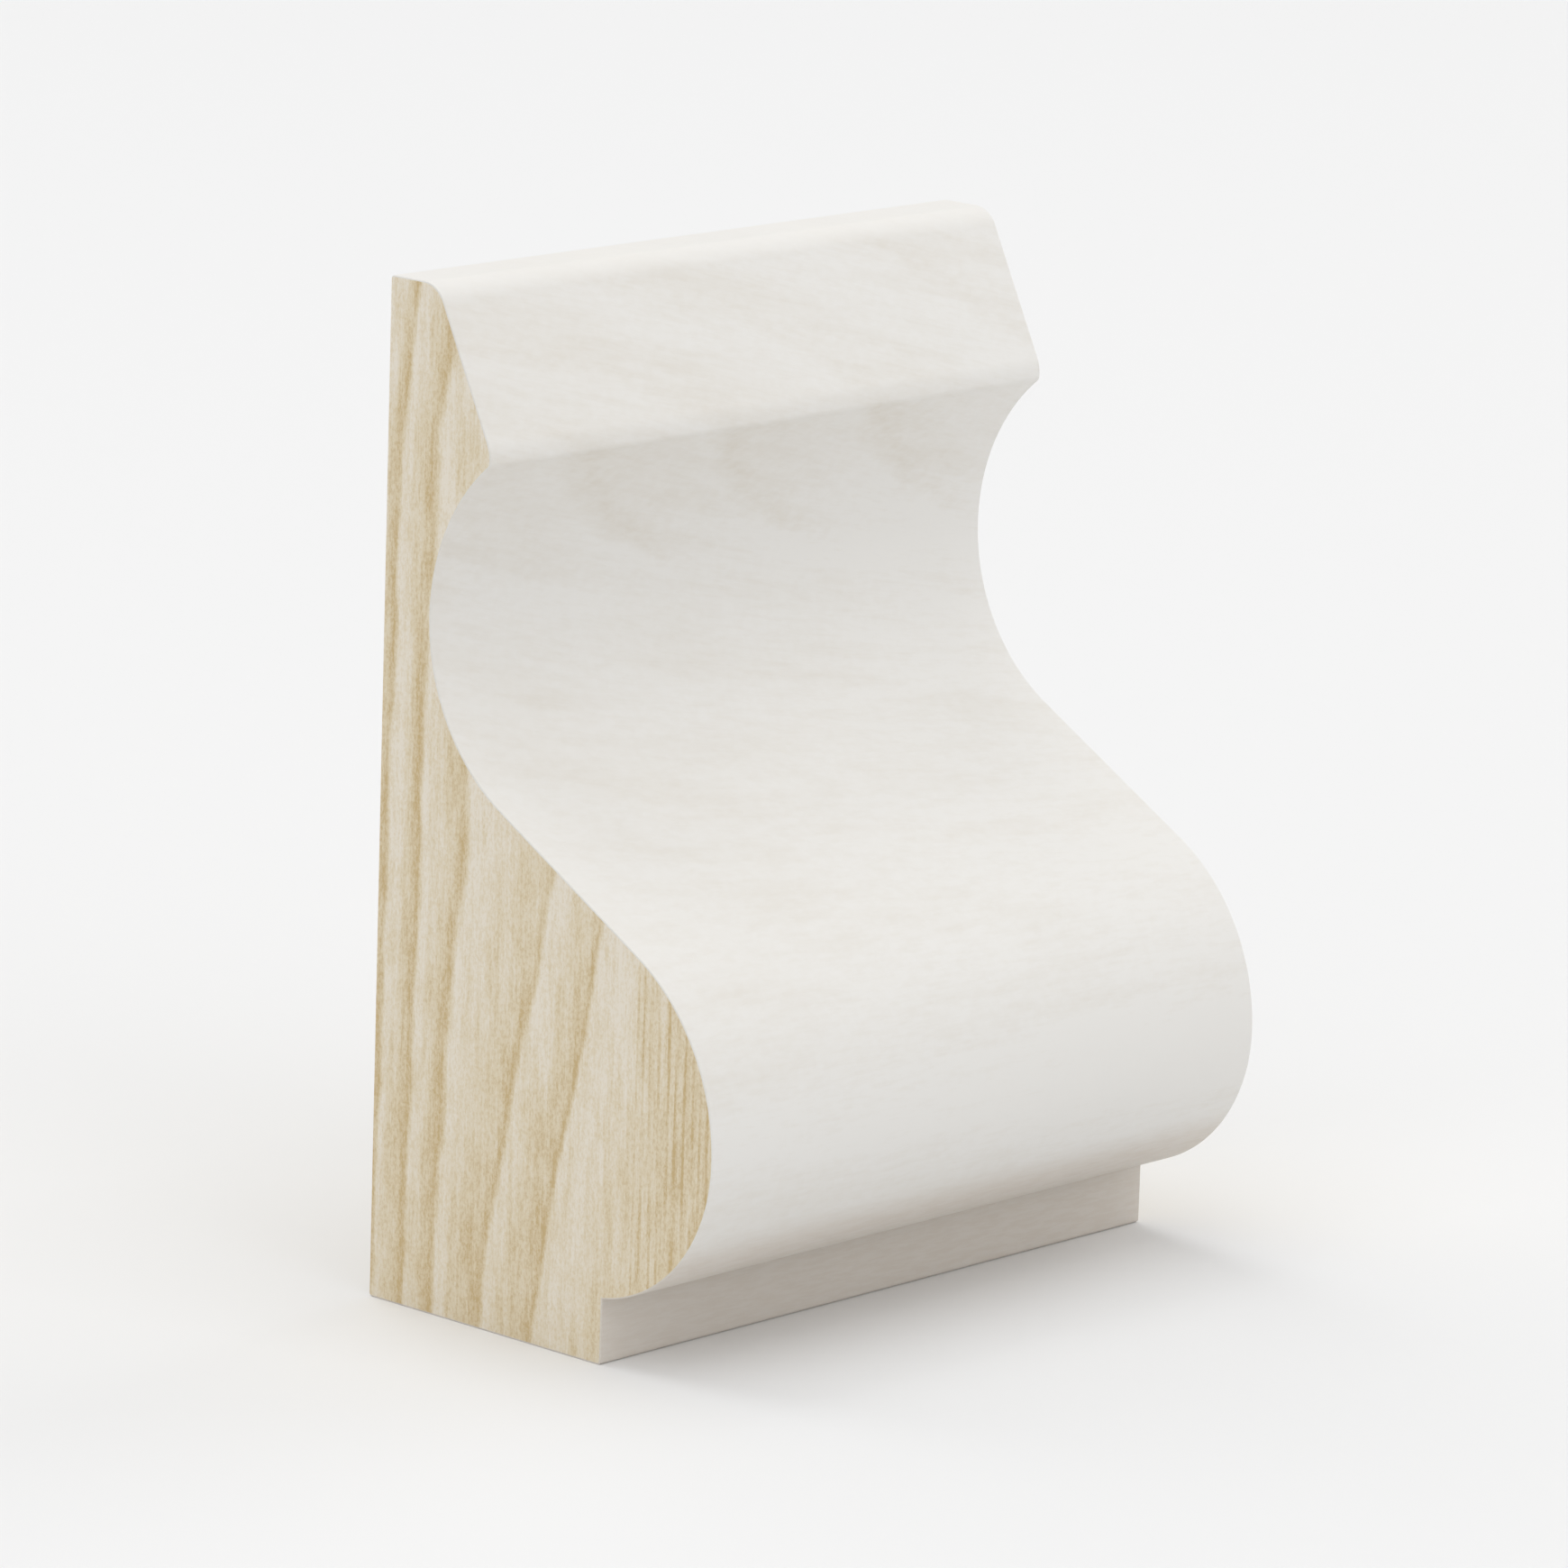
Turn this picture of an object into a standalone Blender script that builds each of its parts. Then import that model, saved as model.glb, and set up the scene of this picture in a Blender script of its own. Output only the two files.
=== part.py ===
"""Inlay moulding: a short, square-cut length of a primed wooden moulding.

The back is flat, and it is the face that is glued or pinned. From the top down the front has a
narrow flat edge, a bevel that runs out to a nose, a deep cove, an ogee slope, a full swell that
curls under to a lip, and below the lip a tongue that is let in beside a thin board.

Frame: metres, +Z up, +X along the run, front towards -Y, back towards +Y. The origin is at the
middle of the bottom of the bounding box.
"""

from math import acos, atan2, ceil, cos, pi, radians, sin, sqrt, tan

import bmesh
import bpy
from mathutils import Vector

MM = 0.001

# Overall sizes
HEIGHT = 40.0 * MM
DEPTH = 18.0 * MM
SAMPLE_LENGTH = 31.0 * MM

# Top edge, bevel and nose: depths are from the back, drops are from the top
TOP_LAND = 2.5 * MM
TOP_RADIUS = 1.2 * MM
NOSE_DEPTH = 5.7 * MM
NOSE_DROP = 6.4 * MM
NOSE_RADIUS = 0.45 * MM

# Cove: the waist is the wood left behind its deepest point
COVE_RADIUS = 7.9 * MM
WAIST = 2.5 * MM

# Swell, lip and tongue: the swell rises from the lip to its fullest point, and laps past the tongue
SWELL_RADIUS = 8.25 * MM
SWELL_RISE = 6.4 * MM
LAP = 5.5 * MM
TONGUE_HEIGHT = 2.6 * MM

# How far a chord may stray from its arc, and how close points are to be one point
CHORD_ERROR = 0.002 * MM
MERGE_DISTANCE = 0.002 * MM
SHARP_ANGLE = radians(25)

PRIMER_COLOUR = (0.80, 0.78, 0.74, 1.0)
PRIMER_ROUGHNESS = 0.55


def at_angle(angle):
    """The unit vector at an angle from the depth axis, in the plane of the section."""
    return Vector((cos(angle), sin(angle)))


def angle_of(direction):
    """A direction's angle, from 0 to a full turn."""
    return atan2(direction.y, direction.x) % (2 * pi)


def arc(centre, radius, start, end):
    """Points on an arc from one angle to another, close enough to keep to CHORD_ERROR."""
    largest_step = 2 * acos(max(0.0, 1 - CHORD_ERROR / radius))
    steps = max(2, ceil(abs(end - start) / largest_step))
    return [centre + radius * at_angle(start + (end - start) * i / steps) for i in range(steps + 1)]


def top_arc(corner, bevel):
    """The round between the flat top and the bevel, which runs in the direction given."""
    turn = acos(bevel.x)
    widest = corner.x / tan(turn / 2)
    radius = min(TOP_RADIUS, widest)
    centre = Vector((corner.x - radius * tan(turn / 2), corner.y - radius))
    return arc(centre, radius, pi / 2, pi / 2 - turn)


def nose_arc(nose, bevel, cove_centre):
    """The small round that touches the bevel and the cove, and where the cove starts below it."""
    into_wood = Vector((bevel.y, -bevel.x))
    from_cove = nose + NOSE_RADIUS * into_wood - cove_centre
    reach = COVE_RADIUS + NOSE_RADIUS
    along = from_cove.dot(bevel)
    slide = -along - sqrt(along**2 - from_cove.length_squared + reach**2)
    centre = cove_centre + from_cove + slide * bevel
    start = angle_of(-into_wood)
    end = angle_of(cove_centre - centre)
    if end > start:
        end -= 2 * pi
    return arc(centre, NOSE_RADIUS, start, end), angle_of(centre - cove_centre)


def ogee(cove_centre, cove_start, fullest):
    """The cove, the straight slope that touches both curves, and the upper half of the swell."""
    rise = cove_centre.y - fullest.y
    room = ((cove_centre.x - fullest.x) ** 2 + rise**2 - COVE_RADIUS**2) / (2 * (fullest.x - WAIST))
    swell_radius = min(SWELL_RADIUS, room)
    swell_centre = fullest - Vector((swell_radius, 0))
    across = swell_centre - cove_centre
    lean = acos(min(1.0, (COVE_RADIUS + swell_radius) / across.length))
    cove_end = angle_of(across) - lean
    cove = arc(cove_centre, COVE_RADIUS, cove_start, cove_end)
    return cove + arc(swell_centre, swell_radius, cove_end - pi, 0)


def curl(fullest, lip):
    """The lower half of the swell, which is upright at its fullest point and ends on the lip."""
    out = fullest.x - lip.x
    rise = fullest.y - lip.y
    radius = (out**2 + rise**2) / (2 * out)
    centre = fullest - Vector((radius, 0))
    end = atan2(lip.y - centre.y, lip.x - centre.x)
    return arc(centre, radius, 0, end)


def section():
    """The closed outline, as points (depth from the back, height), from the foot of the back round."""
    corner = Vector((TOP_LAND, HEIGHT))
    nose = Vector((NOSE_DEPTH, HEIGHT - NOSE_DROP))
    bevel = (nose - corner).normalized()
    overhang = NOSE_DEPTH - WAIST
    nose_above_waist = sqrt(COVE_RADIUS**2 - (COVE_RADIUS - overhang) ** 2)
    cove_centre = Vector((WAIST + COVE_RADIUS, nose.y - nose_above_waist))
    lip = Vector((DEPTH - LAP, TONGUE_HEIGHT))
    fullest = Vector((DEPTH, TONGUE_HEIGHT + SWELL_RISE))

    nose_points, cove_start = nose_arc(nose, bevel, cove_centre)
    outline = [Vector((0, 0)), Vector((0, HEIGHT))]
    outline += top_arc(corner, bevel)
    outline += nose_points
    outline += ogee(cove_centre, cove_start, fullest)
    outline += curl(fullest, lip)
    outline.append(Vector((lip.x, 0)))
    return without_repeats(outline)


def without_repeats(points):
    """The points in order, with one kept where an arc ends on the next one's start."""
    kept = [points[0]]
    for point in points[1:]:
        if (point - kept[-1]).length > MERGE_DISTANCE:
            kept.append(point)
    return kept


def extruded(name, outline, length):
    """A curve object: the outline as a flat filled shape, drawn out to both sides of its plane."""
    curve = bpy.data.curves.new(name, "CURVE")
    curve.dimensions = "2D"
    curve.fill_mode = "BOTH"
    curve.extrude = length / 2
    spline = curve.splines.new("POLY")
    spline.points.add(len(outline) - 1)
    for spot, point in zip(spline.points, outline):
        spot.co = (point.x, point.y, 0, 1)
    spline.use_cyclic_u = True
    return bpy.data.objects.new(name, curve)


def as_mesh(curve_object, name, collection):
    """A mesh object of the curve, in its place, with its loose caps joined on. The curve goes."""
    shape = curve_object.evaluated_get(bpy.context.evaluated_depsgraph_get())
    mesh = bpy.data.meshes.new_from_object(shape)
    mesh.name = name
    edit = bmesh.new()
    edit.from_mesh(mesh)
    bmesh.ops.remove_doubles(edit, verts=edit.verts, dist=MERGE_DISTANCE)
    edit.to_mesh(mesh)
    edit.free()
    mesh.shade_smooth()
    mesh.set_sharp_from_angle(angle=SHARP_ANGLE)
    solid = bpy.data.objects.new(name, mesh)
    solid.matrix_world = curve_object.matrix_world
    collection.objects.link(solid)
    bpy.data.objects.remove(curve_object)
    return solid


def primed_wood():
    """Warm white primer on wood."""
    material = bpy.data.materials.new("primed_wood")
    material.use_nodes = True
    shader = material.node_tree.nodes["Principled BSDF"]
    shader.inputs["Base Color"].default_value = PRIMER_COLOUR
    shader.inputs["Roughness"].default_value = PRIMER_ROUGHNESS
    shader.inputs["Metallic"].default_value = 0.0
    return material


def build_moulding(collection):
    """The whole moulding, one piece of wood: its section stood upright and run along X."""
    blank = extruded("section", section(), SAMPLE_LENGTH)
    blank.rotation_euler = (pi / 2, 0, -pi / 2)
    blank.location = (0, DEPTH / 2, 0)
    collection.objects.link(blank)
    bpy.context.view_layer.update()
    moulding = as_mesh(blank, "inlay_moulding", collection)
    moulding.data.materials.clear()
    moulding.data.materials.append(primed_wood())
    return moulding


def main():
    for old in list(bpy.data.objects):
        bpy.data.objects.remove(old)
    collection = bpy.data.collections.new("inlay_moulding")
    bpy.context.scene.collection.children.link(collection)
    build_moulding(collection)


main()
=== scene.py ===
"""Looks of the inlay moulding: warm white primer over faint grain, bare wood on ends and back."""

from math import acos, atan2, ceil, cos, pi, radians, sin, sqrt, tan

import bmesh
import bpy
from mathutils import Matrix, Vector


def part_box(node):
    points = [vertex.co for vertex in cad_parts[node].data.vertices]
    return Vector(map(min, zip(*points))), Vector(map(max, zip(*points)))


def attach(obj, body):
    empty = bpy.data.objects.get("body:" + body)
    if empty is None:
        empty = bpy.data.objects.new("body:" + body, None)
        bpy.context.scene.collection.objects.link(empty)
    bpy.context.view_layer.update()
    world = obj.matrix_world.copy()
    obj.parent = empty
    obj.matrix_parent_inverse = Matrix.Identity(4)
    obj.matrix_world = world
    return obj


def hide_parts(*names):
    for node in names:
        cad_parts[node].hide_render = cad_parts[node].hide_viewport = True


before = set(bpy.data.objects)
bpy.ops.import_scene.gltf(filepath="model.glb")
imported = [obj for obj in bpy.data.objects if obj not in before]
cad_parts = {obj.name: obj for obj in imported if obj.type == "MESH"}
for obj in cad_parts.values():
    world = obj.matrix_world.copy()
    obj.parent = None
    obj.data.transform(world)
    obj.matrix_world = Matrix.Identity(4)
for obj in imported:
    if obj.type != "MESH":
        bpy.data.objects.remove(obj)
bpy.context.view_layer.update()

MM = 0.001
NODE = "inlay_moulding"
LOW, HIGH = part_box(NODE)

# Overall sizes, from the frame
HEIGHT = HIGH.z - LOW.z
DEPTH = HIGH.y - LOW.y
BACK = HIGH.y

# The section: depths are from the back, drops are from the top
TOP_LAND = 2.5 * MM
TOP_RADIUS = 1.2 * MM
NOSE_DEPTH = 5.7 * MM
NOSE_DROP = 6.4 * MM
COVE_RADIUS = 7.9 * MM
WAIST = 2.5 * MM
SWELL_RADIUS = 8.25 * MM
SWELL_RISE = 6.4 * MM
LAP = 5.5 * MM
TONGUE_HEIGHT = 2.6 * MM

# Form finer than the solid's: a turn into the nose's upright face, a round below it, and arrises
NOSE_TURN_RADIUS = 1.5 * MM
NOSE_SET_BACK = 0.2 * MM
NOSE_RADIUS = 0.3 * MM
LONG_ARRIS = 0.15 * MM
END_ARRIS = 0.04 * MM
COAT = 0.06 * MM

# How finely the mesh follows the form
ARRIS_STEPS = 4
SUPPORT = 0.05 * MM
SHORTEST_RUN = 4 * SUPPORT
LONGEST_STEP = 0.5 * MM
CHORD_ERROR = 0.0006 * MM
MERGE_DISTANCE = 0.002 * MM
SHARPEST_MITRE = 0.5
SHARP_ANGLE = radians(30)

# Camera
CAMERA_AIM = Vector((-1.234, 1.215, 19.648)) * MM
CAMERA_DISTANCE = 343.34 * MM
CAMERA_AZIMUTH = radians(-47.18)
CAMERA_ELEVATION = radians(12.66)
CAMERA_ROLL = radians(1.835)
CAMERA_LENS = 203.29
CAMERA_SENSOR = 36.0
CAMERA_CLIP_START = 0.01
CAMERA_CLIP_END = 20.0


def at_angle(angle):
    """The unit vector at an angle from the depth axis, in the plane of the section."""
    return Vector((cos(angle), sin(angle)))


def angle_of(direction):
    """A direction's angle, from 0 to a full turn."""
    return atan2(direction.y, direction.x) % (2 * pi)


def arc(centre, radius, start, end):
    """Points on an arc from one angle to another, close enough to keep to CHORD_ERROR."""
    largest_step = 2 * acos(1 - CHORD_ERROR / radius)
    steps = max(2, ceil(abs(end - start) / largest_step))
    return [centre + radius * at_angle(start + (end - start) * i / steps) for i in range(steps + 1)]


def eased(corner, arriving, leaving):
    """A square corner of the blank with its arris eased."""
    centre = corner - LONG_ARRIS * arriving + LONG_ARRIS * leaving
    turns = [pi / 2 * i / ARRIS_STEPS for i in range(ARRIS_STEPS + 1)]
    return [centre + LONG_ARRIS * (sin(turn) * arriving - cos(turn) * leaving) for turn in turns]


def turn_arc(corner, radius, arriving, leaving):
    """The round between two straight runs that meet at a corner."""
    turn = acos(arriving.dot(leaving))
    into_wood = Vector((arriving.y, -arriving.x))
    centre = corner - arriving * radius * tan(turn / 2) + into_wood * radius
    start = angle_of(-into_wood)
    return arc(centre, radius, start, start - turn)


def nose_arc(face_top, down, cove_centre):
    """The small round from the nose's upright face to the cove, and where on the cove it ends."""
    into_wood = Vector((down.y, -down.x))
    from_cove = face_top + NOSE_RADIUS * into_wood - cove_centre
    reach = COVE_RADIUS + NOSE_RADIUS
    along = from_cove.dot(down)
    slide = -along - sqrt(along**2 - from_cove.length_squared + reach**2)
    centre = cove_centre + from_cove + slide * down
    start = angle_of(-into_wood)
    end = angle_of(cove_centre - centre)
    if end > start:
        end -= 2 * pi
    return arc(centre, NOSE_RADIUS, start, end), angle_of(centre - cove_centre)


def ogee(cove_centre, cove_start, fullest):
    """The cove, the straight slope that touches both curves, and the upper half of the swell."""
    swell_centre = fullest - Vector((SWELL_RADIUS, 0))
    across = swell_centre - cove_centre
    lean = acos((COVE_RADIUS + SWELL_RADIUS) / across.length)
    cove_end = angle_of(across) - lean
    cove = arc(cove_centre, COVE_RADIUS, cove_start, cove_end)
    return cove + arc(swell_centre, SWELL_RADIUS, cove_end - pi, 0)


def curl(fullest, lip):
    """The lower half of the swell, which is upright at its fullest point and ends on the lip."""
    out = fullest.x - lip.x
    rise = fullest.y - lip.y
    radius = (out**2 + rise**2) / (2 * out)
    centre = fullest - Vector((radius, 0))
    return arc(centre, radius, 0, atan2(lip.y - centre.y, lip.x - centre.x))


def section():
    """The closed outline from the foot of the back round, as points (depth from the back, height)."""
    up, down = Vector((0, 1)), Vector((0, -1))
    out, back = Vector((1, 0)), Vector((-1, 0))
    corner = Vector((TOP_LAND, HEIGHT))
    nose = Vector((NOSE_DEPTH, HEIGHT - NOSE_DROP))
    bevel = (nose - corner).normalized()
    overhang = NOSE_DEPTH - WAIST
    nose_above_waist = sqrt(COVE_RADIUS**2 - (COVE_RADIUS - overhang) ** 2)
    cove_centre = Vector((WAIST + COVE_RADIUS, nose.y - nose_above_waist))
    lip = Vector((DEPTH - LAP, TONGUE_HEIGHT))
    fullest = Vector((DEPTH, TONGUE_HEIGHT + SWELL_RISE))

    face_top = nose - bevel * (NOSE_SET_BACK / bevel.x)
    nose_points, cove_start = nose_arc(face_top, down, cove_centre)
    outline = eased(Vector((0, 0)), back, up) + eased(Vector((0, HEIGHT)), up, out)
    outline += turn_arc(corner, TOP_RADIUS, out, bevel)
    outline += turn_arc(face_top, NOSE_TURN_RADIUS, bevel, down) + nose_points
    outline += ogee(cove_centre, cove_start, fullest) + curl(fullest, lip)
    outline += eased(Vector((lip.x, 0)), down, back)
    return with_supports(without_repeats(outline))


def without_repeats(points):
    """The points in order, with one kept where an arc ends on the next one's start."""
    kept = [points[0]]
    for point in points[1:]:
        if (point - kept[-1]).length > MERGE_DISTANCE:
            kept.append(point)
    return kept


def run_of_steps(length):
    """Places along a straight run, close to both ends and even between, so that it shades flat."""
    if length <= SHORTEST_RUN:
        return []
    middle = length - 2 * SUPPORT
    steps = ceil(middle / LONGEST_STEP)
    return [SUPPORT + middle * i / steps for i in range(steps + 1)]


def with_supports(outline):
    """The outline with points added on its straight runs."""
    full = []
    for point, following in zip(outline, outline[1:] + outline[:1]):
        run = following - point
        full.append(point)
        full += [point + run.normalized() * place for place in run_of_steps(run.length)]
    return full


def inset(outline, distance):
    """The outline moved into the wood, each point along the middle of its two edges' normals."""
    moved = []
    for i, point in enumerate(outline):
        before = (point - outline[i - 1]).normalized()
        after = (outline[(i + 1) % len(outline)] - point).normalized()
        tangent = (before + after).normalized()
        into_wood = Vector((tangent.y, -tangent.x))
        moved.append(point + into_wood * (distance / max(SHARPEST_MITRE, tangent.dot(after))))
    return moved


def end_rings():
    """How far each ring of an end is inset, and stands back from the cut, from the side in."""
    turns = [pi / 2 * i / ARRIS_STEPS for i in range(ARRIS_STEPS + 1)]
    rings = [(END_ARRIS * (1 - cos(turn)), END_ARRIS * (1 - sin(turn))) for turn in turns]
    return rings + [(COAT, 0.0), (COAT + SUPPORT, 0.0)]


def add_ring(mesh, outline, x):
    """A ring of vertices: the outline stood upright at one place along the run."""
    return [mesh.verts.new((x, BACK - point.x, point.y)) for point in outline]


def bridge(mesh, ring, following, materials):
    """A band of faces between two rings, with the material of each place round it."""
    for i, material in enumerate(materials):
        j = (i + 1) % len(materials)
        face = mesh.faces.new((ring[i], ring[j], following[j], following[i]))
        face.material_index = material


# The mesh's material slots, in order
PRIMED, CUT_END, PLANED_BACK = range(3)


def moulding_mesh():
    """One closed mesh: the sides, the eased ends, the coat's cut edge and the bare wood within it."""
    outline = section()
    on_back = [point.x < LONG_ARRIS / 2 and after.x < LONG_ARRIS / 2
               for point, after in zip(outline, outline[1:] + outline[:1])]
    side_materials = [PLANED_BACK if back else PRIMED for back in on_back]
    edge_materials = [CUT_END if back else PRIMED for back in on_back]
    cut_materials = [CUT_END] * len(outline)
    rings = end_rings()
    shapes = [inset(outline, distance) for distance, _ in rings]
    places = [LOW.x + back_off for _, back_off in rings]

    mesh = bmesh.new()
    left = [add_ring(mesh, shape, x) for shape, x in zip(shapes, places)]
    right = [add_ring(mesh, shape, -x) for shape, x in zip(shapes, places)]
    length = -2 * places[0]
    between = [add_ring(mesh, outline, places[0] + step) for step in run_of_steps(length)]
    sides = [left[0]] + between + [right[0]]
    for ring, following in zip(sides, sides[1:]):
        bridge(mesh, ring, following, side_materials)
    for end in (left, right):
        for ring, following in zip(end, end[1:]):
            innermost = following is end[-1]
            bridge(mesh, ring, following, cut_materials if innermost else edge_materials)
        cap = mesh.faces.new(end[-1])
        cap.material_index = CUT_END
    bmesh.ops.recalc_face_normals(mesh, faces=mesh.faces)
    caps = [face for face in mesh.faces if len(face.verts) > 4]
    bmesh.ops.triangulate(mesh, faces=caps)
    data = bpy.data.meshes.new("moulding")
    mesh.to_mesh(data)
    mesh.free()
    data.shade_smooth()
    data.set_sharp_from_angle(angle=SHARP_ANGLE)
    return data


class Nodes:
    """A short way to write a material's node tree."""

    def __init__(self, name):
        self.material = bpy.data.materials.new(name)
        self.material.use_nodes = True
        self.tree = self.material.node_tree
        self.shader = self.tree.nodes["Principled BSDF"]

    def connect(self, value, socket):
        """Links a socket to an input, or sets the input to a plain value."""
        if isinstance(value, bpy.types.NodeSocket):
            self.tree.links.new(value, socket)
        else:
            socket.default_value = value

    def math(self, operation, *values):
        """A Math node's result."""
        node = self.tree.nodes.new("ShaderNodeMath")
        node.operation = operation
        for value, socket in zip(values, node.inputs):
            self.connect(value, socket)
        return node.outputs[0]

    def total(self, *values):
        """The sum of several values."""
        result = values[0]
        for value in values[1:]:
            result = self.math("ADD", result, value)
        return result

    def product(self, first, second):
        """The product of two values."""
        return self.math("MULTIPLY", first, second)

    def either_way(self, noise, reach):
        """A noise of 0 to 1 as a shift of up to half the reach either way."""
        return self.product(self.math("SUBTRACT", noise, 0.5), reach)

    def ramp(self, value, low, high, to_low=0.0, to_high=1.0):
        """A smooth step from to_low to to_high as the value goes from low to high."""
        node = self.tree.nodes.new("ShaderNodeMapRange")
        node.interpolation_type = "SMOOTHSTEP"
        for given, name in zip((value, low, high, to_low, to_high),
                               ("Value", "From Min", "From Max", "To Min", "To Max")):
            self.connect(given, node.inputs[name])
        return node.outputs[0]

    def stops(self, value, stops):
        """A colour read from stops of (place from 0 to 1, colour)."""
        node = self.tree.nodes.new("ShaderNodeValToRGB")
        elements = node.color_ramp.elements
        while len(elements) < len(stops):
            elements.new(0.5)
        for element, (place, colour) in zip(elements, stops):
            element.position = place
            element.color = colour
        self.connect(value, node.inputs["Fac"])
        return node.outputs["Color"]

    def place(self):
        """Place along the run, depth from the back, and height, in millimetres."""
        coordinates = self.tree.nodes.new("ShaderNodeTexCoord")
        parts = self.tree.nodes.new("ShaderNodeSeparateXYZ")
        self.tree.links.new(coordinates.outputs["Object"], parts.inputs[0])
        run = self.product(parts.outputs["X"], 1 / MM)
        depth = self.product(self.math("SUBTRACT", BACK, parts.outputs["Y"]), 1 / MM)
        height = self.product(parts.outputs["Z"], 1 / MM)
        return run, depth, height

    def noise(self, place, cell, detail=2.0, roughness=0.5):
        """Noise of 0 to 1 whose cells measure cell = (run, depth, height) millimetres."""
        vector = self.tree.nodes.new("ShaderNodeCombineXYZ")
        for value, size, socket in zip(place, cell, vector.inputs):
            self.connect(self.math("DIVIDE", value, size), socket)
        node = self.tree.nodes.new("ShaderNodeTexNoise")
        node.inputs["Scale"].default_value = 1.0
        node.inputs["Detail"].default_value = detail
        node.inputs["Roughness"].default_value = roughness
        self.tree.links.new(vector.outputs[0], node.inputs["Vector"])
        return node.outputs["Fac"]

    def mix(self, factor, first, second):
        """A colour between two colours."""
        node = self.tree.nodes.new("ShaderNodeMix")
        node.data_type = "RGBA"
        self.connect(factor, node.inputs["Factor"])
        for colour, name in ((first, "A_Color"), (second, "B_Color")):
            socket = next(s for s in node.inputs if s.identifier == name)
            self.connect(colour, socket)
        return next(s for s in node.outputs if s.identifier == "Result_Color")

    def bump(self, height, distance, strength):
        """Fine relief on the shader, of a height of 0 to 1 times the distance."""
        node = self.tree.nodes.new("ShaderNodeBump")
        node.inputs["Strength"].default_value = strength
        node.inputs["Distance"].default_value = distance
        self.connect(height, node.inputs["Height"])
        self.tree.links.new(node.outputs["Normal"], self.shader.inputs["Normal"])


def linear(red, green, blue):
    """A colour as seen on a screen, 0 to 255, in the render's linear values."""
    shares = [value / 255 for value in (red, green, blue)]
    curved = [s / 12.92 if s <= 0.04045 else ((s + 0.055) / 1.055) ** 2.4 for s in shares]
    return (*curved, 1.0)


# Height of the nose for the materials, in millimetres
NOSE_HEIGHT = (HEIGHT - NOSE_DROP) / MM

# In the values below, a ramp is input low and high, then output low and high if not 0 and 1
# A ramp's input is a noise, a wave or a share of a ring, or else a place in millimetres
# A cell is the size of a noise along the run, in depth and in height, in millimetres

# Bare wood, from its palest tone to its darkest
PALE_WOOD = linear(238, 230, 215)
MIDDLE_WOOD = linear(226, 212, 183)
DARK_WOOD = linear(205, 181, 136)
FIBRE_TONE = (0.3, 0.7, -0.13, 0.14)
FLECK_TONE = (0.35, 0.70, -0.13, 0.20)
WOOD_ROUGHNESS = (0.2, 0.8, 0.62, 0.78)
WOOD_SPECULAR = 0.3
WOOD_RELIEF = 0.012 * MM
WOOD_BUMP = 0.5
FLECK_RELIEF = 0.5

# Growth rings on a cut end, in millimetres: where each dark line meets the foot, and its width
RING_LINES = ((0.1, 0.6), (1.8, 0.55), (3.35, 0.4), (6.0, 0.4), (8.75, 0.3))
FIRST_RING = -1.2
RING_EDGE = 0.13
RINGS_FROM = -3.0
RINGS_TO = 17.0
LAST_PALE = 1.5
LAST_MIDDLE = 3.0

# Tones across a ring in order, and the share of it from its middle tone to its dark line
PAST_LINE_TONE = 0.12
PALE_TONE = 0.14
MIDDLE_TONE = 0.30
NEAR_LINE_TONE = 0.54
LINE_TONE = 0.82
MIDDLE_SHARE = 0.6

# How the rings lean, bend and wander, with lengths in millimetres
LEAN_START = 1.5
LEAN_END = 10.0
LEAN_TOP = 19.0
BACK_LEAN = 0.02
FRONT_LEAN = 0.175
BEND_HEIGHT = 28.0
BEND = 0.005
NOSE_LEAN_START = 4.0
NOSE_LEAN_END = 6.0
NOSE_LEAN_BLEND = 3.0
NOSE_LEAN = 0.85
RING_WANDER_CELL = (60.0, 6.0, 6.0)
RING_WANDER = 0.7

# Fine upright streaks in the nose of the swell, with lengths in millimetres
STREAKS_FROM = 13.2
STREAKS_TO = 14.4
STREAK_SPACING = 0.42
STREAK_WANDER_CELL = (60.0, 1.5, 30.0)
STREAK_WANDER = 0.6
STREAK_SHARPNESS = (0.1, 0.95)
STREAK_STRENGTH_CELL = (30.0, 0.5, 3.0)
STREAK_STRENGTH = (0.3, 0.65, 0.05, 0.38)
SWELL_DEEPENING = 0.20

# Uneven tone, fibres and flecks on a cut end
END_BANDS_CELL = (60.0, 0.45, 5.0)
END_BANDS = (0.35, 0.65, -0.10, 0.10)
END_PATCHES_CELL = (60.0, 0.7, 1.5)
END_PATCHES = (0.3, 0.7, -0.08, 0.08)
END_FOOT = (0.0, 20.0, 0.13, -0.04)
END_FIBRES_CELL = (6.0, 0.14, 2.2)
END_FLECKS_CELL = (1.0, 0.09, 0.15)

# Nested rings on the planed back, with lengths in millimetres
BACK_FIGURE_RUN = -48.0
BACK_FIGURE_HEIGHT = 17.0
BACK_FIGURE_STRETCH = 9.0
BACK_RING_WIDTH = 3.1
BACK_WANDER_CELL = (30.0, 10.0, 5.0)
BACK_WANDER = 3.0
BACK_LINE = (0.82, 0.96, 0.0, 0.3)
BACK_LINE_END = (0.97, 1.0, 1.0, 0.0)
BACK_DEEPENING = (0.1, 0.95, 0.12, 0.58)
BACK_DEEPENING_END = (0.97, 1.0, 1.0, 0.2)
BACK_FIBRES_CELL = (5.0, 2.0, 0.16)
BACK_FLECKS_CELL = (0.6, 1.0, 0.08)

# Primer that has drifted over the long edges of the back, with lengths in millimetres
OVERSPRAY = 0.5
OVERSPRAY_CELL = (1.2, 1.0, 0.6)
OVERSPRAY_COVER = (-0.1, 0.15, 0.85, 0.0)

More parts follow.
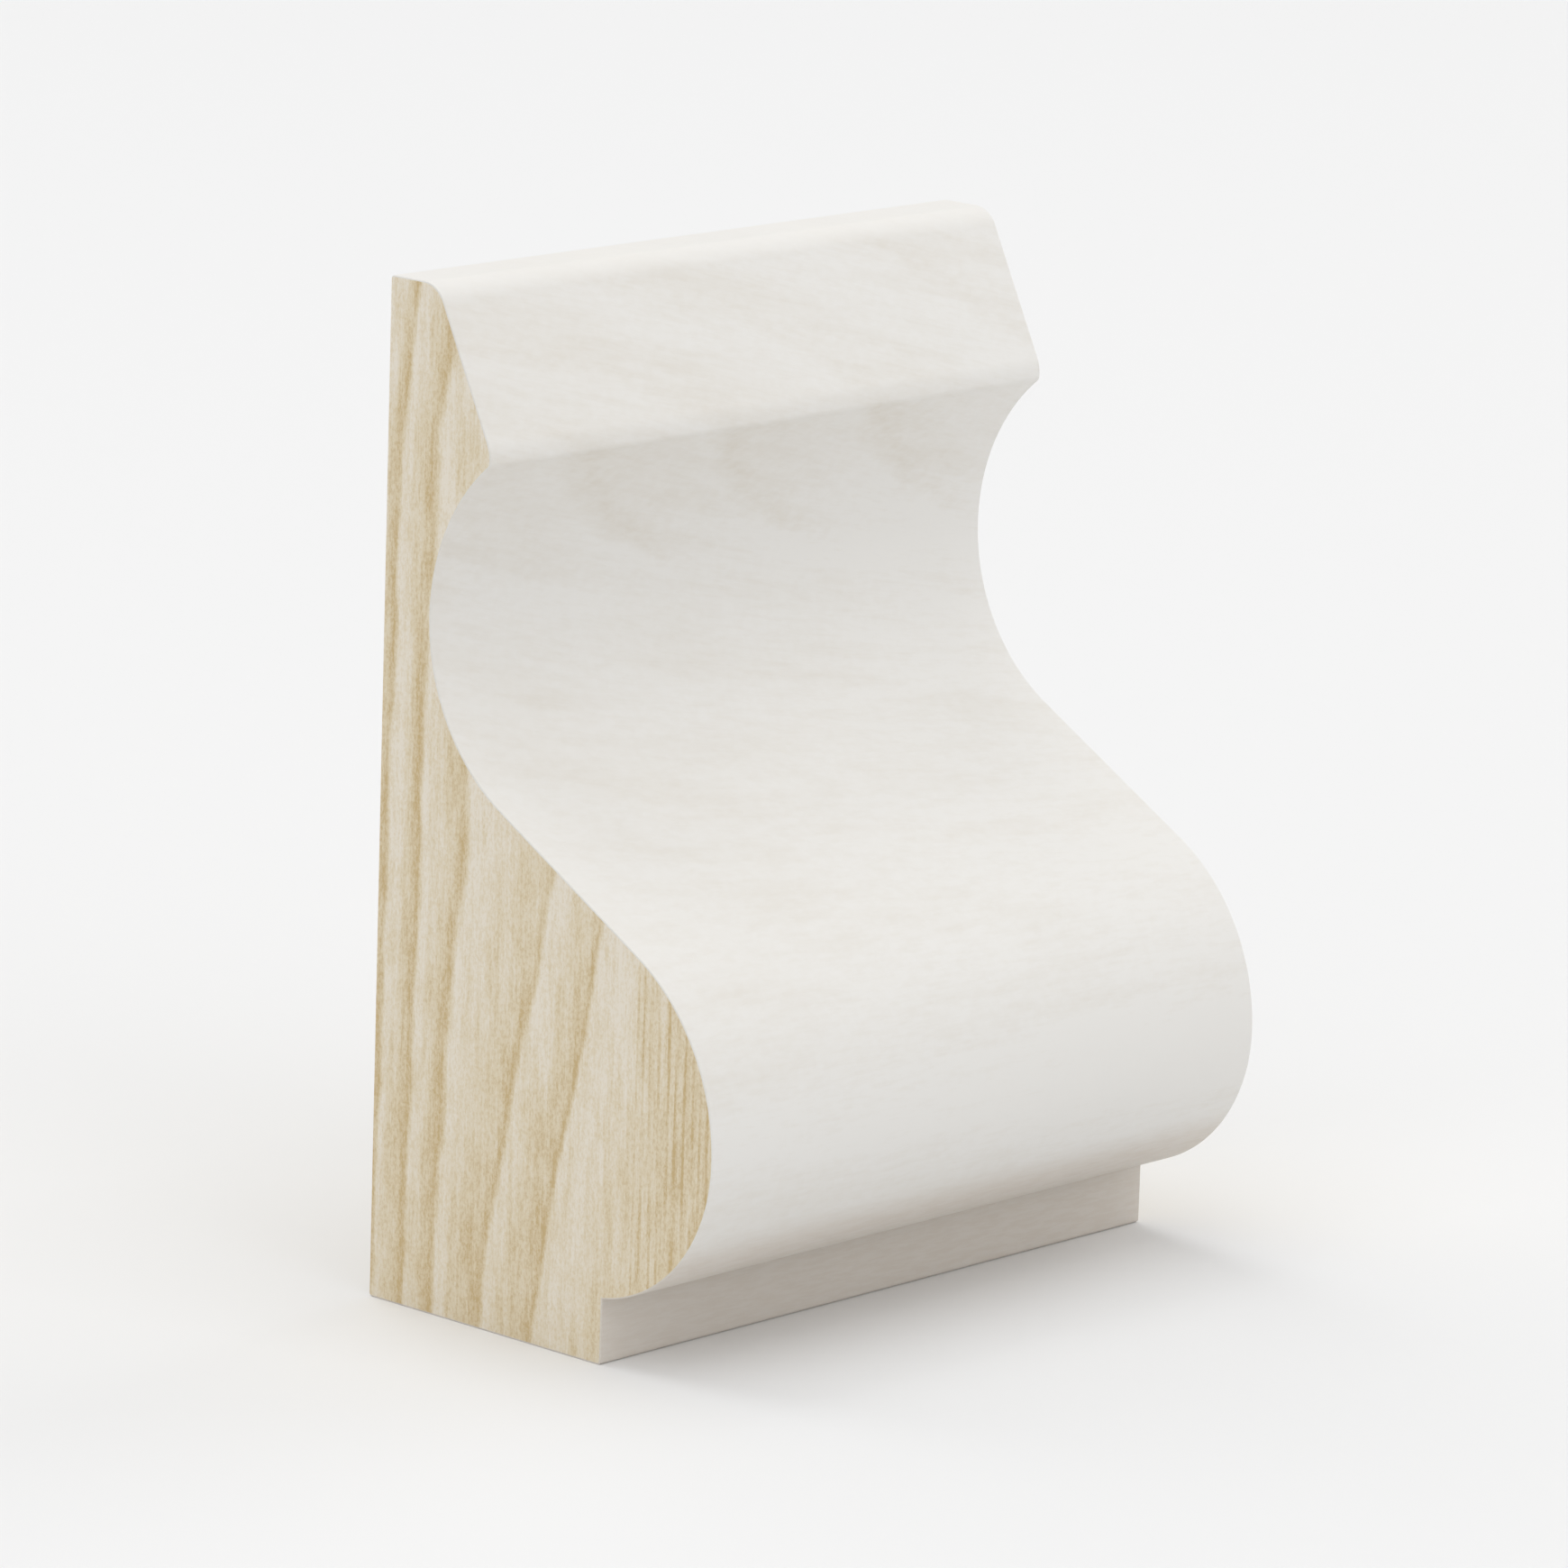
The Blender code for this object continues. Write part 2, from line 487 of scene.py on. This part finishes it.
# Primed coat, and how much of the grain shows through it
PRIMER = linear(233, 231, 227)
SHOWN_GRAIN = linear(211, 202, 186)
COAT_SLANT = (12.0, 30.0, 0.02, 0.25)
COAT_STREAKS_CELL = (8.0, 5.0, 0.9)
COAT_STREAKS = (0.42, 0.70, 0.0, 0.12)
COAT_STREAKS_BY_HEIGHT = (5.0, 16.0, 0.5, 1.0)
COAT_FIBRES_CELL = (1.4, 1.4, 0.20)
COAT_FIBRES = (0.40, 0.72, 0.0, 0.10)
COAT_BLOTCHES_CELL = (12.0, 5.0, 3.0)
COAT_BLOTCHES = (0.4, 0.75, 0.0, 0.06)
COAT_PEEL_CELL = (0.45, 0.35, 0.35)
COAT_PEEL = (0.3, 0.7, -0.02, 0.05)
# Painted light along the run: more grain shows towards the -x end and less towards the +x end, so the
# coat is paler towards +x
COAT_PAINTED_LIGHT_ALONG_RUN = (LOW.x / MM, HIGH.x / MM, 0.05, -0.05)
COAT_ON_TOP = (39.2, 39.9, 1.0, 0.3)
COAT_ROUGHNESS = (0.2, 0.8, 0.5, 0.62)
COAT_SPECULAR = 0.35
COAT_RELIEF = 0.010 * MM
COAT_BUMP = 0.35

# Painted shade on the tongue and under the swell's overhang: the coat is mixed towards a darker grey
# by height in millimetres, patchy with the fibres
FOOT_PAINTED_SHADE = linear(216, 208, 198)
FOOT_PAINTED_SHADE_BY_HEIGHT = (4.2, 6.0, 1.0, 0.0)
FOOT_PAINTED_SHADE_FIBRES = (0.35, 0.65, 0.75, 1.0)

# Heights in millimetres of two bands where less of the grain shows, and by how much: the band round
# the swell's fullest is paler grain, and the band at the cove's waist is painted light that brightens
# the shaded cove
PALE_GRAIN_AND_PAINTED_LIGHT_BANDS = ((7.2, 10.8), (26.8, 29.6))
PALE_BAND_EDGE = 1.1
PALE_BAND = -0.11

# Nested arcs of grain on the bevel and in the cove, with lengths in millimetres
FIGURE_RUN = -10.0
FIGURE_HEIGHT = 27.0
FIGURE_SLANT = 0.61
FIGURE_STRETCH = 2.66
FIGURE_POWER = 3.0
COVE_BEND = 0.13
FIGURE_WANDER_CELL = (2.5, 4.0, 2.5)
FIGURE_WANDER = 0.9
FIGURE_ARCS = (6.6, 9.0, 11.4, 14.4, 18.1)
FIGURE_LINE = 0.5
FIGURE_FADE = 1.6
FIGURE_LINE_TONE = 1.0
FIGURE_PAST_LINE_TONE = 0.5
FIGURE_FADED_TONE = 0.3
FIGURE_REACH = 24.0
FIGURE_SPECKS_CELL = (0.7, 0.5, 0.3)
FIGURE_SPECKS = (0.35, 0.65, 0.65, 1.2)
FIGURE_BY_HEIGHT = (26.4, 29.0)
FIGURE_BLEND = 0.5
FIGURE_IN_COVE = 0.26
FIGURE_ON_BEVEL = 0.14


def grey_stops(stops, start, end):
    """Stops of tone, at places from start to end, as colours at places from 0 to 1."""
    return [((place - start) / (end - start), (tone, tone, tone, 1.0)) for place, tone in stops]


def across_rings(nodes, place):
    """How far a place is across the growth rings: the depth at which its ring meets the foot."""
    _, depth, height = place
    wander = nodes.either_way(nodes.noise(place, RING_WANDER_CELL), RING_WANDER)
    whole_lean = nodes.product(height, BACK_LEAN)
    front_lean = nodes.ramp(depth, LEAN_START, LEAN_END, 0.0, FRONT_LEAN)
    low_lean = nodes.product(front_lean, nodes.math("MINIMUM", height, LEAN_TOP))
    above = nodes.math("MAXIMUM", nodes.math("SUBTRACT", height, BEND_HEIGHT), 0.0)
    bend = nodes.product(nodes.math("POWER", above, 2.0), BEND)
    blend_from, blend_to = BEND_HEIGHT - NOSE_LEAN_BLEND, BEND_HEIGHT + NOSE_LEAN_BLEND
    in_nose = nodes.ramp(height, blend_from, blend_to, 0.0, NOSE_LEAN)
    nose_lean = nodes.product(nodes.ramp(depth, NOSE_LEAN_START, NOSE_LEAN_END), in_nose)
    back_off = nodes.total(whole_lean, low_lean, bend, nose_lean)
    return nodes.math("ADD", nodes.math("SUBTRACT", depth, back_off), wander)


def ring_stops():
    """Stops of tone across the rings: each deepens to its dark line, and the next starts pale."""
    stops = [(FIRST_RING, PALE_TONE)]
    inner = FIRST_RING
    for outer, width in RING_LINES:
        middle = outer - MIDDLE_SHARE * (outer - inner)
        stops += [(middle, MIDDLE_TONE), (outer - width, NEAR_LINE_TONE)]
        stops += [(outer - RING_EDGE, LINE_TONE), (outer + RING_EDGE, PAST_LINE_TONE)]
        inner = outer
    stops += [(inner + LAST_PALE, PALE_TONE), (inner + LAST_MIDDLE, MIDDLE_TONE)]
    return grey_stops(stops, RINGS_FROM, RINGS_TO)


def swell_streaks(nodes, place):
    """Tone of the fine upright streaks in the nose of the swell."""
    _, depth, _ = place
    wander = nodes.product(nodes.noise(place, STREAK_WANDER_CELL), STREAK_WANDER)
    turns = nodes.math("DIVIDE", nodes.math("ADD", depth, wander), STREAK_SPACING)
    wave = nodes.math("COSINE", nodes.product(turns, 2 * pi))
    strength = nodes.ramp(nodes.noise(place, STREAK_STRENGTH_CELL), *STREAK_STRENGTH)
    streak = nodes.product(nodes.ramp(wave, *STREAK_SHARPNESS), strength)
    region = nodes.ramp(depth, STREAKS_FROM, STREAKS_TO)
    deepening = nodes.ramp(depth, STREAKS_FROM, DEPTH / MM, 0.0, SWELL_DEEPENING)
    return nodes.math("ADD", nodes.product(region, streak), deepening)


def finish_bare_wood(nodes, tone, fibres, flecks):
    """Colour, roughness and relief of bare wood, from its tone, its fibres and its flecks."""
    tone = nodes.total(tone, nodes.ramp(fibres, *FIBRE_TONE), nodes.ramp(flecks, *FLECK_TONE))
    stops = [(0.0, PALE_WOOD), (0.5, MIDDLE_WOOD), (1.0, DARK_WOOD)]
    nodes.connect(nodes.stops(tone, stops), nodes.shader.inputs["Base Color"])
    nodes.connect(nodes.ramp(fibres, *WOOD_ROUGHNESS), nodes.shader.inputs["Roughness"])
    nodes.shader.inputs["Specular IOR Level"].default_value = WOOD_SPECULAR
    relief = nodes.math("ADD", fibres, nodes.product(flecks, FLECK_RELIEF))
    nodes.bump(relief, WOOD_RELIEF, WOOD_BUMP)


def cut_end():
    """Sawn softwood: rings that lean forward and deepen to thin dark lines, with upright fibres."""
    nodes = Nodes("cut_end")
    place = nodes.place()
    _, _, height = place
    across = nodes.math("SUBTRACT", across_rings(nodes, place), RINGS_FROM)
    rings = nodes.stops(nodes.math("DIVIDE", across, RINGS_TO - RINGS_FROM), ring_stops())
    bands = nodes.noise(place, END_BANDS_CELL, detail=3.0)
    patches = nodes.noise(place, END_PATCHES_CELL)
    uneven = nodes.math("ADD", nodes.ramp(bands, *END_BANDS), nodes.ramp(patches, *END_PATCHES))
    foot = nodes.ramp(height, *END_FOOT)
    tone = nodes.total(rings, swell_streaks(nodes, place), foot, uneven)
    fibres = nodes.noise(place, END_FIBRES_CELL, detail=4.0, roughness=0.7)
    flecks = nodes.noise(place, END_FLECKS_CELL, roughness=0.6)
    finish_bare_wood(nodes, tone, fibres, flecks)
    return nodes.material


def back_rings(nodes, place):
    """Tone of the long nested rings on the back."""
    run, _, height = place
    wander = nodes.product(nodes.noise(place, BACK_WANDER_CELL), BACK_WANDER)
    along = nodes.math("DIVIDE", nodes.math("SUBTRACT", run, BACK_FIGURE_RUN), BACK_FIGURE_STRETCH)
    up = nodes.math("SUBTRACT", height, BACK_FIGURE_HEIGHT)
    squares = nodes.math("ADD", nodes.math("POWER", along, 2.0), nodes.product(up, up))
    distance = nodes.math("ADD", nodes.math("SQRT", squares), wander)
    ring = nodes.math("FRACT", nodes.math("DIVIDE", distance, BACK_RING_WIDTH))
    line = nodes.product(nodes.ramp(ring, *BACK_LINE), nodes.ramp(ring, *BACK_LINE_END))
    deepening = nodes.product(
        nodes.ramp(ring, *BACK_DEEPENING),
        nodes.ramp(ring, *BACK_DEEPENING_END),
    )
    return nodes.math("ADD", deepening, line)


def planed_back():
    """Planed softwood: long nested rings along the run, and a little primer over the long edges."""
    nodes = Nodes("planed_back")
    place = nodes.place()
    _, _, height = place
    fibres = nodes.noise(place, BACK_FIBRES_CELL, detail=4.0, roughness=0.65)
    flecks = nodes.noise(place, BACK_FLECKS_CELL, roughness=0.6)
    finish_bare_wood(nodes, back_rings(nodes, place), fibres, flecks)

    edge = nodes.math("MINIMUM", height, nodes.math("SUBTRACT", HEIGHT / MM, height))
    drift = nodes.noise(place, OVERSPRAY_CELL, detail=3.0, roughness=0.6)
    past_edge = nodes.math("SUBTRACT", edge, nodes.product(drift, 2 * OVERSPRAY))
    covered = nodes.ramp(past_edge, *OVERSPRAY_COVER)
    bare = nodes.shader.inputs["Base Color"].links[0].from_socket
    nodes.connect(nodes.mix(covered, bare, PRIMER), nodes.shader.inputs["Base Color"])
    return nodes.material


def figure_stops():
    """Stops of tone out from the middle of the figure: each arc is a line that fades outward."""
    stops = []
    for radius in FIGURE_ARCS:
        stops += [(radius - FIGURE_LINE, 0.0), (radius, FIGURE_LINE_TONE)]
        stops += [(radius + FIGURE_LINE, FIGURE_PAST_LINE_TONE)]
        stops += [(radius + FIGURE_FADE, FIGURE_FADED_TONE)]
    return grey_stops(stops, 0.0, FIGURE_REACH)


def shown_figure(nodes, place):
    """Faint nested arcs of grain on the upper faces: copies of one round-shouldered curve."""
    run, _, height = place
    wander = nodes.either_way(nodes.noise(place, FIGURE_WANDER_CELL, detail=1.5), FIGURE_WANDER)
    below_nose = nodes.math("MINIMUM", nodes.math("SUBTRACT", height, NOSE_HEIGHT), 0.0)
    in_cove = nodes.product(nodes.product(below_nose, below_nose), -COVE_BEND)
    slanted = nodes.total(run, nodes.product(height, FIGURE_SLANT), in_cove)
    along = nodes.math("DIVIDE", nodes.math("SUBTRACT", slanted, FIGURE_RUN), FIGURE_STRETCH)
    along_power = nodes.math("POWER", nodes.math("MAXIMUM", along, 0.0), FIGURE_POWER)
    up = nodes.math("SUBTRACT", nodes.math("MAXIMUM", height, NOSE_HEIGHT), FIGURE_HEIGHT)
    powers = nodes.math("ADD", along_power, nodes.math("POWER", up, FIGURE_POWER))
    size = nodes.math("ADD", nodes.math("POWER", powers, 1 / FIGURE_POWER), wander)
    arcs = nodes.stops(nodes.math("DIVIDE", size, FIGURE_REACH), figure_stops())
    specks = nodes.ramp(nodes.noise(place, FIGURE_SPECKS_CELL), *FIGURE_SPECKS)
    blend_from, blend_to = NOSE_HEIGHT - FIGURE_BLEND, NOSE_HEIGHT + FIGURE_BLEND
    strength = nodes.ramp(height, blend_from, blend_to, FIGURE_IN_COVE, FIGURE_ON_BEVEL)
    fade = nodes.ramp(height, *FIGURE_BY_HEIGHT)
    return nodes.product(nodes.product(arcs, specks), nodes.product(strength, fade))


def pale_grain_and_painted_light_bands(nodes, height):
    """What the pale bands take off the grain that shows: paler grain round the swell's fullest, and
    painted light at the cove's waist.
    """
    bands = []
    for low, high in PALE_GRAIN_AND_PAINTED_LIGHT_BANDS:
        above_low = nodes.ramp(height, low - PALE_BAND_EDGE, low + PALE_BAND_EDGE)
        below_high = nodes.ramp(height, high - PALE_BAND_EDGE, high + PALE_BAND_EDGE, PALE_BAND, 0.0)
        bands.append(nodes.product(above_low, below_high))
    return nodes.total(*bands)


def primed_coat():
    """Warm white primer, thin enough that the wood's grain shows through as a faint beige, with
    painted light and painted shade mixed into its colour.
    """
    nodes = Nodes("primed_coat")
    place = nodes.place()
    run, depth, height = place
    slanted = nodes.math("ADD", height, nodes.product(run, nodes.ramp(height, *COAT_SLANT)))
    with_grain = (run, depth, slanted)
    streaks = nodes.noise(with_grain, COAT_STREAKS_CELL, detail=3.0, roughness=0.6)
    fibres = nodes.noise(with_grain, COAT_FIBRES_CELL, detail=3.0, roughness=0.65)
    blotches = nodes.noise(with_grain, COAT_BLOTCHES_CELL)
    peel = nodes.noise(place, COAT_PEEL_CELL, detail=3.0)
    shown_streaks = nodes.product(
        nodes.ramp(streaks, *COAT_STREAKS),
        nodes.ramp(height, *COAT_STREAKS_BY_HEIGHT),
    )
    shown = nodes.total(
        shown_figure(nodes, place),
        shown_streaks,
        nodes.ramp(fibres, *COAT_FIBRES),
        nodes.ramp(blotches, *COAT_BLOTCHES),
        nodes.ramp(peel, *COAT_PEEL),
        # Painted light: the coat is paler towards the +x end of the run
        nodes.ramp(run, *COAT_PAINTED_LIGHT_ALONG_RUN),
        # Paler grain at the swell's fullest, and painted light at the cove's waist
        pale_grain_and_painted_light_bands(nodes, height),
    )
    coat = nodes.mix(nodes.product(shown, nodes.ramp(height, *COAT_ON_TOP)), PRIMER, SHOWN_GRAIN)
    # Painted shade: the coat darkens towards the foot, on the tongue and under the swell
    foot = nodes.product(
        nodes.ramp(height, *FOOT_PAINTED_SHADE_BY_HEIGHT),
        nodes.ramp(fibres, *FOOT_PAINTED_SHADE_FIBRES),
    )
    nodes.connect(nodes.mix(foot, coat, FOOT_PAINTED_SHADE), nodes.shader.inputs["Base Color"])
    nodes.connect(nodes.ramp(streaks, *COAT_ROUGHNESS), nodes.shader.inputs["Roughness"])
    nodes.shader.inputs["Specular IOR Level"].default_value = COAT_SPECULAR
    nodes.bump(nodes.total(peel, streaks, fibres), COAT_RELIEF, COAT_BUMP)
    return nodes.material


def make_moulding():
    """The whole moulding, in place of its solid."""
    moulding = bpy.data.objects.new("moulding", moulding_mesh())
    bpy.context.scene.collection.objects.link(moulding)
    for material in (primed_coat(), cut_end(), planed_back()):
        moulding.data.materials.append(material)
    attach(moulding, "root")
    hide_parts(NODE)


# Studio: each softbox has its direction from the object and its power in watts
FLOOR_SIZE = 4.0
FLOOR_COLOUR = (0.82, 0.82, 0.82, 1.0)
FLOOR_ROUGHNESS = 0.9
FLOOR_SPECULAR = 0.1
WORLD_COLOUR = (1.0, 1.0, 1.0, 1.0)
WORLD_STRENGTH = 0.45
SOFTBOX_DISTANCE = 1.6
SOFTBOX_SIZE = 1.3
SOFTBOXES = {
    "high": ((0.0, -0.05, 1.0), 5.3),
    "high_front": ((0.0, -0.7, 0.7), 5.0),
    "high_left": ((-0.7, -0.2, 0.7), 4.8),
    "high_back": ((0.0, 0.6, 0.8), 7.6),
    "right": ((1.0, -0.2, 0.3), 8.4),
}


def make_floor():
    """A plain pale floor."""
    mesh = bmesh.new()
    bmesh.ops.create_grid(mesh, x_segments=1, y_segments=1, size=FLOOR_SIZE / 2)
    data = bpy.data.meshes.new("floor")
    mesh.to_mesh(data)
    mesh.free()
    floor = bpy.data.objects.new("floor", data)
    bpy.context.scene.collection.objects.link(floor)
    material = bpy.data.materials.new("floor")
    material.use_nodes = True
    shader = material.node_tree.nodes["Principled BSDF"]
    shader.inputs["Base Color"].default_value = FLOOR_COLOUR
    shader.inputs["Roughness"].default_value = FLOOR_ROUGHNESS
    shader.inputs["Specular IOR Level"].default_value = FLOOR_SPECULAR
    data.materials.append(material)


def add_softbox(name, towards, power):
    """A large square light that looks at the object from the direction given."""
    light = bpy.data.lights.new(name, "AREA")
    light.size = SOFTBOX_SIZE
    light.energy = power
    lamp = bpy.data.objects.new(name, light)
    direction = Vector(towards).normalized()
    lamp.location = direction * SOFTBOX_DISTANCE
    lamp.rotation_euler = direction.to_track_quat("Z", "Y").to_euler()
    bpy.context.scene.collection.objects.link(lamp)


def make_light():
    """A pale room and its softboxes."""
    world = bpy.data.worlds.new("studio")
    world.use_nodes = True
    background = world.node_tree.nodes["Background"]
    background.inputs["Color"].default_value = WORLD_COLOUR
    background.inputs["Strength"].default_value = WORLD_STRENGTH
    bpy.context.scene.world = world
    for name, (towards, power) in SOFTBOXES.items():
        add_softbox(name, towards, power)


def make_camera():
    """The camera at the photograph's angle, turned a little about its own axis."""
    camera = bpy.data.cameras.new("camera")
    camera.sensor_width = CAMERA_SENSOR
    camera.lens = CAMERA_LENS
    camera.clip_start = CAMERA_CLIP_START
    camera.clip_end = CAMERA_CLIP_END
    eye = bpy.data.objects.new("camera", camera)
    level = cos(CAMERA_ELEVATION)
    back = Vector((sin(CAMERA_AZIMUTH) * level, -cos(CAMERA_AZIMUTH) * level, sin(CAMERA_ELEVATION)))
    upright = back.to_track_quat("Z", "Y").to_matrix().to_4x4()
    stand = Matrix.Translation(CAMERA_AIM + back * CAMERA_DISTANCE)
    eye.matrix_world = stand @ upright @ Matrix.Rotation(CAMERA_ROLL, 4, "Z")
    bpy.context.scene.collection.objects.link(eye)
    bpy.context.scene.camera = eye


make_moulding()
make_floor()
make_light()
make_camera()
bpy.context.scene.view_settings.view_transform = "Standard"
